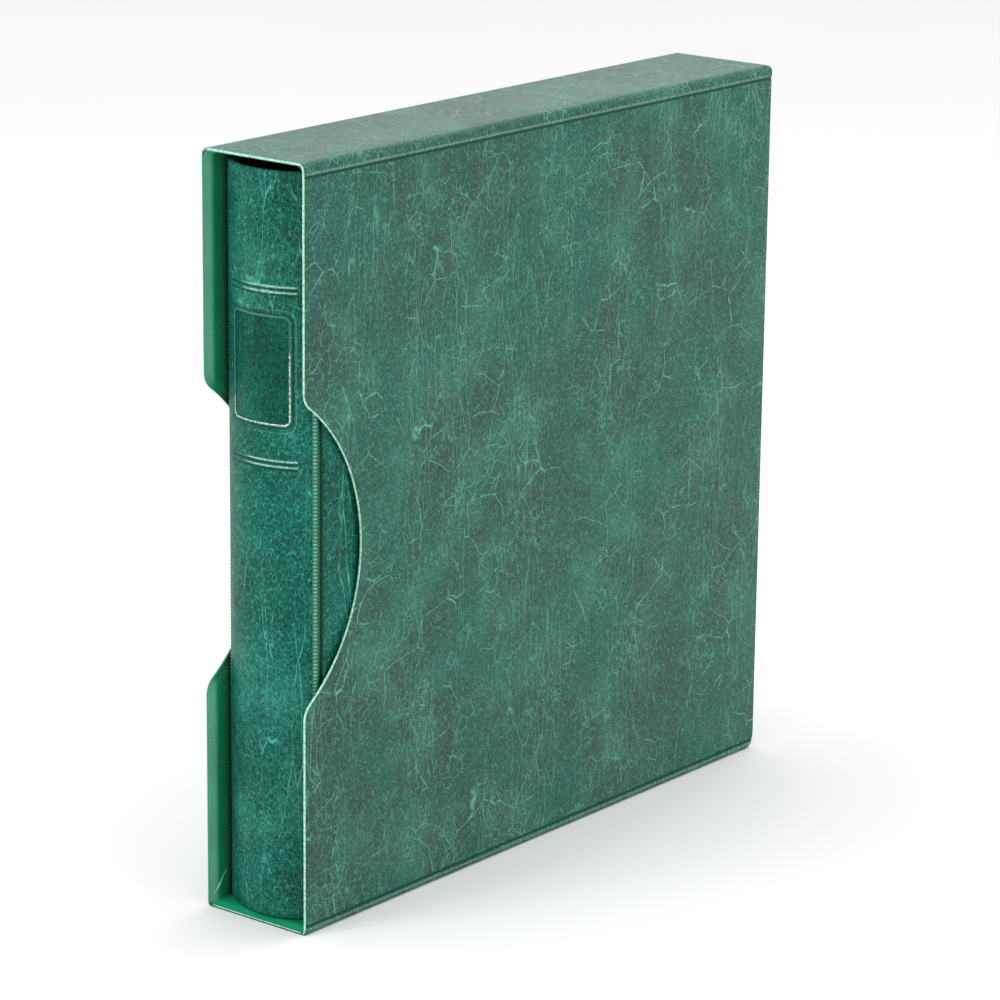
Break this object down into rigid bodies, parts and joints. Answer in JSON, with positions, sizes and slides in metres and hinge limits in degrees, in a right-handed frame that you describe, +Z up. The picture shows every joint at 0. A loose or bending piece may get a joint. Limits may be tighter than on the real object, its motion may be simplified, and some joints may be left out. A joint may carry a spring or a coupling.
{
  "type": "stamp album",
  "caption": "Ring-binder stamp album with a rounded leatherette spine, standing in a matching open-fronted slipcase with thumb cuts; it slides out and its rings open.",
  "frame": {"origin": "centre of the base of the closed slipcase", "axes": "+X across the thickness towards the front cover, -Y out of the open mouth with the spine, +Z up"},
  "size_m": [0.055, 0.32, 0.325],
  "materials": {
    "case_leatherette": "grained leatherette, satin sheen",
    "case_lining": "smooth soft vinyl, semi-gloss",
    "greyboard": "matt grey board",
    "album_leatherette": "grained leatherette with long creases",
    "album_lining": "smooth soft vinyl, satin",
    "hinge_vinyl": "welded leatherette",
    "label_film": "stamped dark green film, satin",
    "label_foil": "worn silver foil",
    "mechanism_steel": "bright nickel plate",
    "blade_steel": "plain steel strip",
    "rivet_steel": "plated steel",
    "leaf_card": "matt album card",
    "mount_film": "clear film"
  },
  "bodies": {
    "slipcase": {"case_left_board": "greyboard", "case_right_board": "greyboard", "case_top_board": "greyboard", "case_floor_board": "greyboard", "case_back_board": "greyboard", "case_wall_skin": "case_leatherette", "case_top_skin": "case_leatherette", "case_floor_skin": "case_leatherette", "case_left_lining": "case_lining", "case_right_lining": "case_lining", "case_top_lining": "case_lining", "case_floor_lining": "case_lining", "case_back_lining": "case_lining"},
    "album": {"spine_skin": "album_leatherette", "spine_board": "greyboard", "spine_lining": "album_lining", "front_cover_skin": "album_leatherette", "front_cover_board": "greyboard", "front_cover_lining": "album_lining", "rear_cover_skin": "album_leatherette", "rear_cover_board": "greyboard", "rear_cover_lining": "album_lining", "front_hinge": "hinge_vinyl", "rear_hinge": "hinge_vinyl", "label_panel": "label_film", "label_frame": "label_foil", "ring_housing": "mechanism_steel", "housing_rivets": "rivet_steel", "lever_pins": "rivet_steel", "album_leaves": "leaf_card", "stamp_mounts": "mount_film"},
    "ring_set_left": {"blade_left": "blade_steel", "rings_left": "mechanism_steel"},
    "ring_set_right": {"blade_right": "blade_steel", "rings_right": "mechanism_steel"},
    "opening_lever_upper": {"lever_upper": "mechanism_steel"},
    "opening_lever_lower": {"lever_lower": "mechanism_steel"}
  },
  "joints": [
    {"name": "album_slide", "type": "slide", "parent": "slipcase", "child": "album", "axis": [0, -1, 0], "range_m": [0, 0.33]},
    {"name": "rings_left_hinge", "type": "hinge", "parent": "album", "child": "ring_set_left", "pos_m": [-0.0135, -0.14984, 0.1611], "axis": [0, 0, 1], "range_deg": [0, 12]},
    {"name": "rings_right_hinge", "type": "hinge", "parent": "album", "child": "ring_set_right", "pos_m": [0.0135, -0.14984, 0.1611], "axis": [0, 0, -1], "range_deg": [0, 12]},
    {"name": "lever_upper_hinge", "type": "hinge", "parent": "album", "child": "opening_lever_upper", "pos_m": [0, -0.14884, 0.3061], "axis": [1, 0, 0], "range_deg": [0, 17.4]},
    {"name": "lever_lower_hinge", "type": "hinge", "parent": "album", "child": "opening_lever_lower", "pos_m": [0, -0.14884, 0.0161], "axis": [-1, 0, 0], "range_deg": [0, 17.4]}
  ],
  "couplings": [
    {"joint": "rings_right_hinge", "follows": "rings_left_hinge", "ratio": 1},
    {"joint": "lever_upper_hinge", "follows": "rings_left_hinge", "ratio": 1.45},
    {"joint": "lever_lower_hinge", "follows": "rings_left_hinge", "ratio": 1.45}
  ]
}
